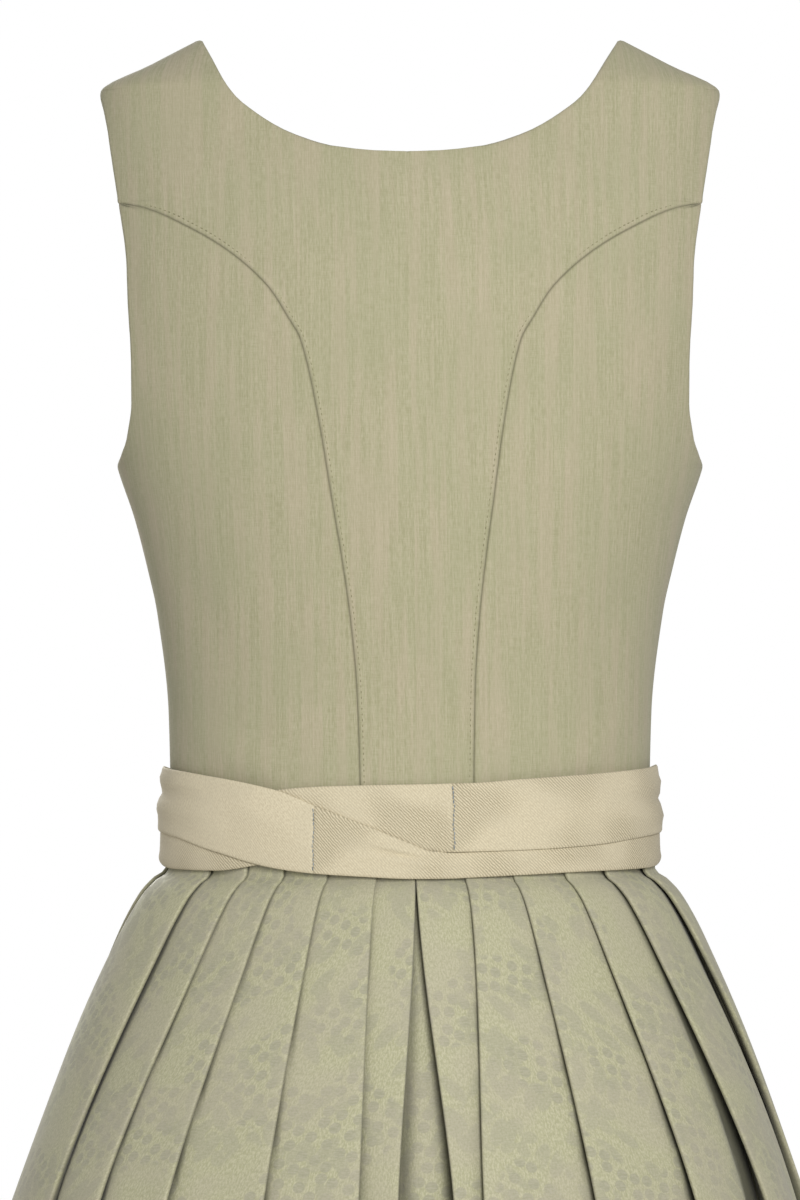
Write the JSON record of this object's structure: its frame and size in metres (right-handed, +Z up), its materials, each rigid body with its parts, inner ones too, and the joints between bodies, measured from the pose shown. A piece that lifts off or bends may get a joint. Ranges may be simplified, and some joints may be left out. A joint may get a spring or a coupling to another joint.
{
  "type": "sleeveless dirndl dress with its apron, filled out as worn",
  "caption": "Sleeveless pleated dirndl with a princess-seamed bodice, wide scooped back neck and a wrapped, tied apron band.",
  "frame": {"origin": "between the shoulder straps, level with the middle of the shoulder seams, where the wearer's shoulders hold the dress", "axes": "+Z up, -Y towards the wearer's front, +X towards the wearer's left; the back and crossed ties face +Y"},
  "size_m": [0.6648, 0.6141, 1.1306],
  "materials": {
    "bodice_linen": "matte melange linen weave",
    "skirt_jacquard": "tonal jacquard with a faint sheen",
    "apron_twill": "matte diagonal twill",
    "button_horn": "polished horn"
  },
  "bodies": {
    "root": {"back": "bodice_linen", "side_back_left": "bodice_linen", "side_back_right": "bodice_linen", "front_left": "bodice_linen", "front_right": "bodice_linen", "side_front_left": "bodice_linen", "side_front_right": "bodice_linen", "skirt_back": "skirt_jacquard", "skirt_front": "skirt_jacquard", "apron": "apron_twill", "apron_waistband": "apron_twill", "tie_left_over": "apron_twill", "tie_left_under": "apron_twill", "tie_right_under": "apron_twill", "tie_right_over": "apron_twill", "bow_knot": "apron_twill", "bow_loop_left": "apron_twill", "bow_loop_right": "apron_twill", "bow_tail_left": "apron_twill", "bow_tail_right": "apron_twill", "button_1": "button_horn", "button_2": "button_horn", "button_3": "button_horn", "button_4": "button_horn", "button_5": "button_horn", "button_6": "button_horn", "button_7": "button_horn"}
  },
  "joints": []
}
